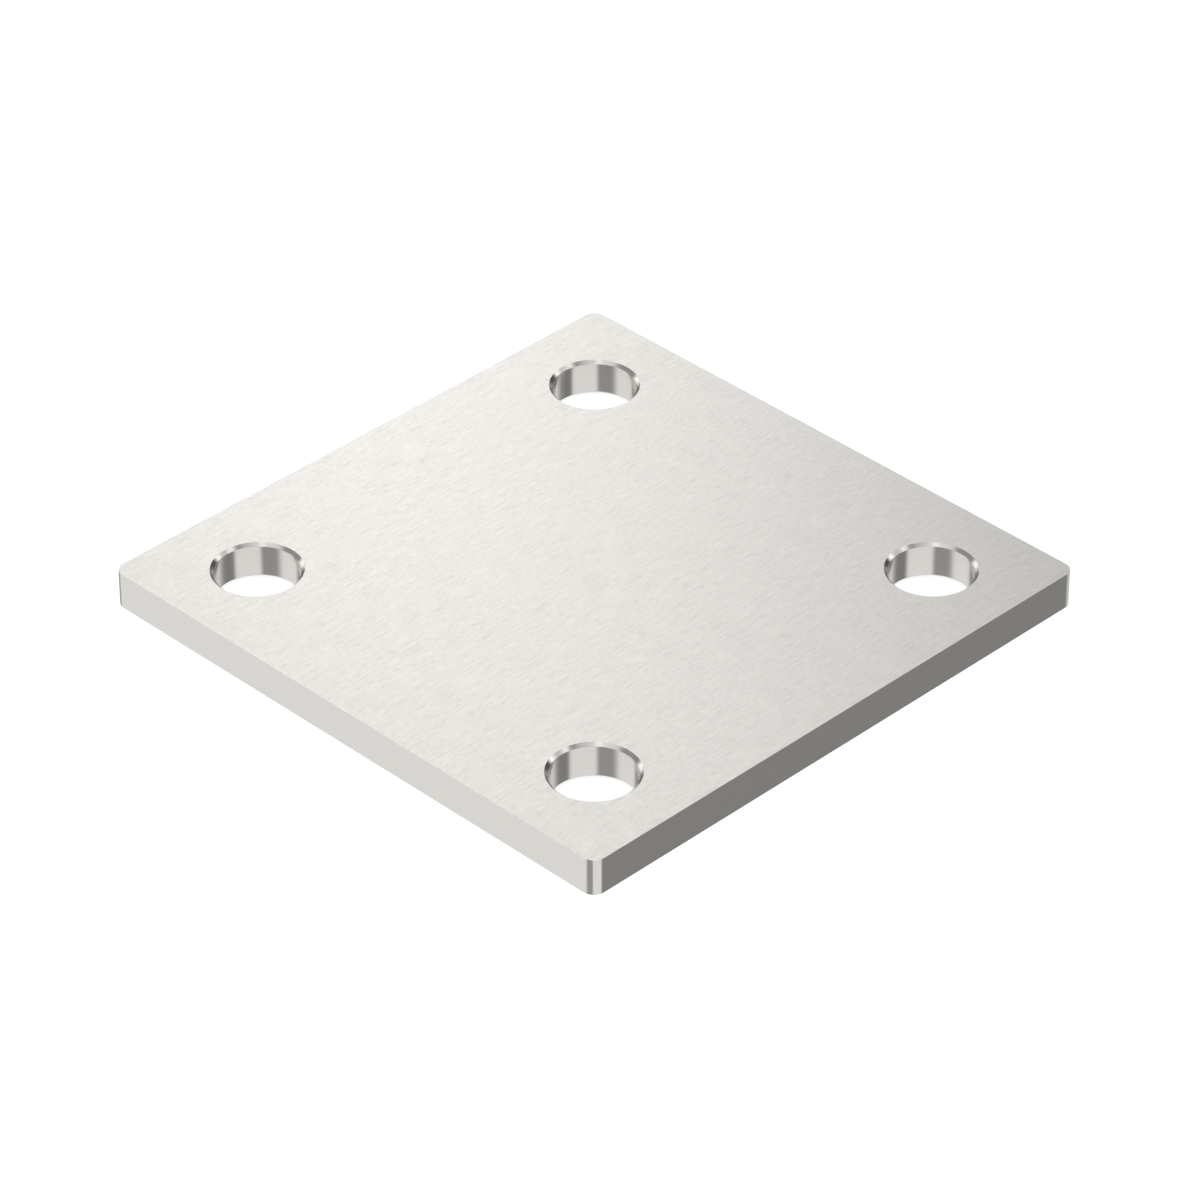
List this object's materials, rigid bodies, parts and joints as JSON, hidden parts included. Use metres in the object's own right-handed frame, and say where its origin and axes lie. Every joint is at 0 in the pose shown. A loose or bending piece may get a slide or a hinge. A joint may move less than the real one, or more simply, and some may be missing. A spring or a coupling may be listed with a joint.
{
  "type": "anchor plate",
  "caption": "Flat square anchor plate of brushed stainless steel with rounded corners and chamfered through holes, for fixing a post or rail to a floor or wall with anchor bolts.",
  "frame": {"origin": "centre of the underside, in the plane where the plate lies on the floor or wall that it is anchored to", "axes": "+Z out of the show face, square to the plate; X and Y along the sides, with the brushed grain along Y"},
  "size_m": [0.1, 0.1, 0.006],
  "materials": {
    "brushed_steel": "both faces brushed in one direction, along Y; edges, holes and chamfers smooth and bright"
  },
  "bodies": {
    "root": {"anchor_plate": "brushed_steel"}
  },
  "joints": []
}
